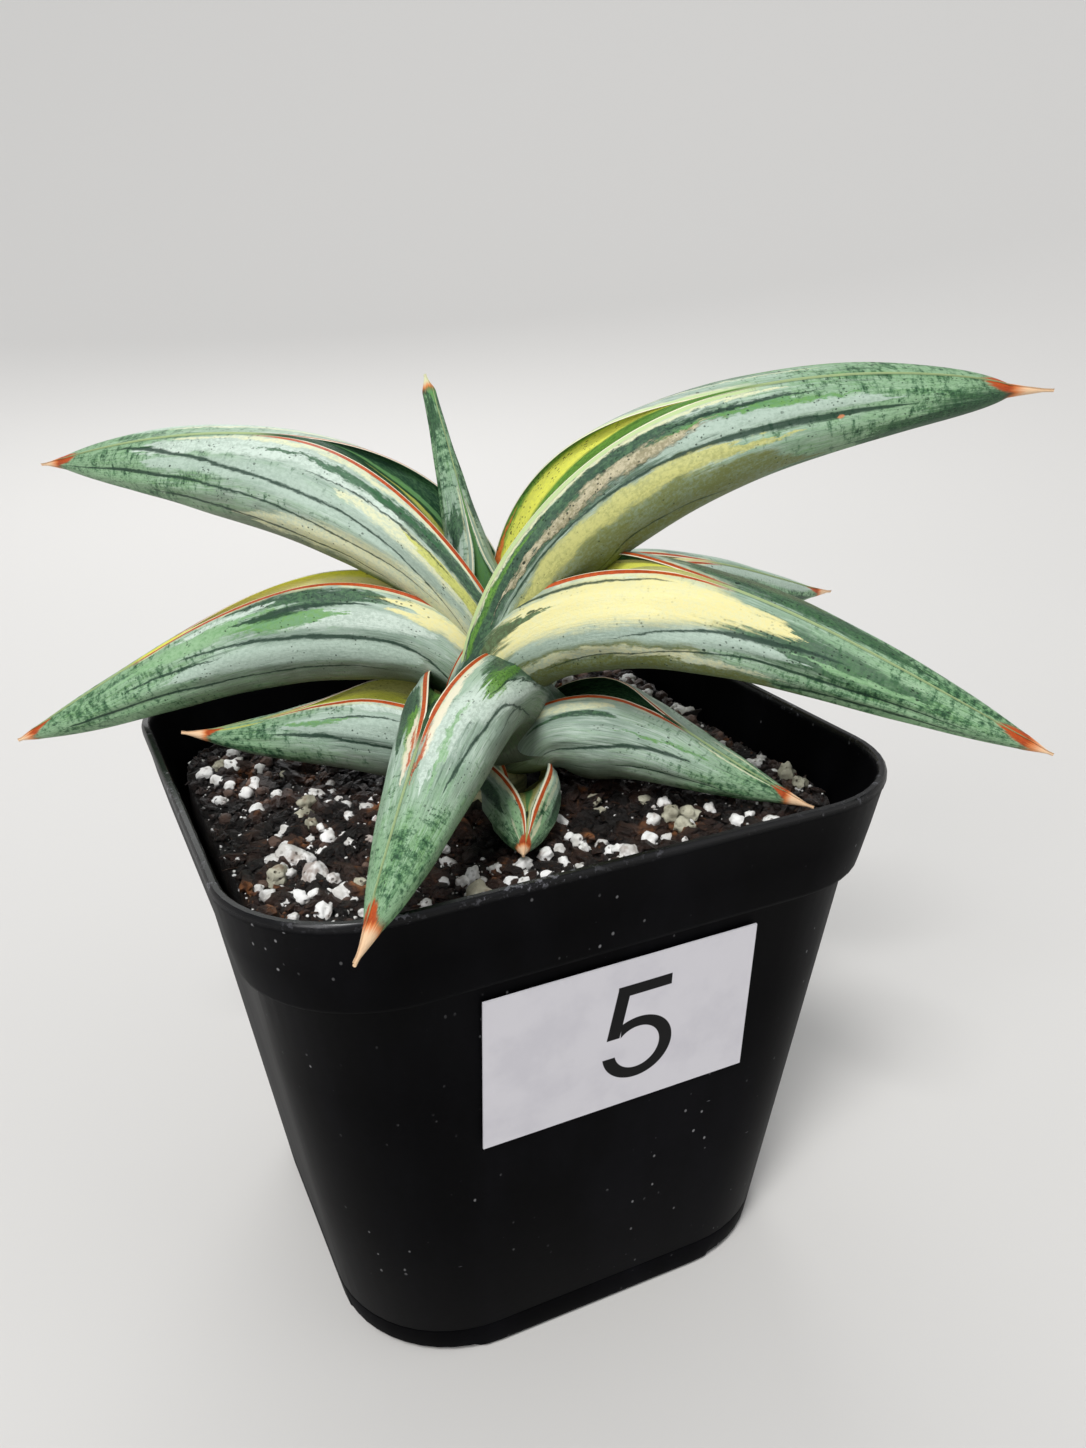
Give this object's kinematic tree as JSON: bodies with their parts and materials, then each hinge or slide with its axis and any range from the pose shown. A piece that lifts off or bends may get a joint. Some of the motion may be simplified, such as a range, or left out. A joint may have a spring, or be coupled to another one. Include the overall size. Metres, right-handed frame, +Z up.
{
  "type": "potted snake plant",
  "caption": "Succulent snake plant rosette with thick rolled, spine-tipped variegated leaves in a square black nursery pot with a numbered label.",
  "frame": {"origin": "centre of the pot's underside, on the ground", "axes": "+Z up along the pot's axis; the face with the label looks along -Y; +X is on the right of someone facing the label"},
  "size_m": [0.1695, 0.1329, 0.1412],
  "materials": {
    "pot": "satin",
    "label": "matt",
    "soil": "loose bark, peat and perlite",
    "stem": "pale, waxy plant tissue",
    "leaf": "waxy, variegated grey-green, dark green and cream"
  },
  "bodies": {
    "root": {"pot": "pot", "label": "label", "soil": "soil", "stem": "stem", "leaf_centre": "leaf", "leaf_right_high": "leaf", "leaf_left_high": "leaf", "leaf_back_right": "leaf", "leaf_right_mid": "leaf", "leaf_left_mid": "leaf", "leaf_front": "leaf", "leaf_back_low": "leaf", "leaf_right_low": "leaf", "leaf_left_low": "leaf", "leaf_front_small": "leaf"}
  },
  "joints": []
}
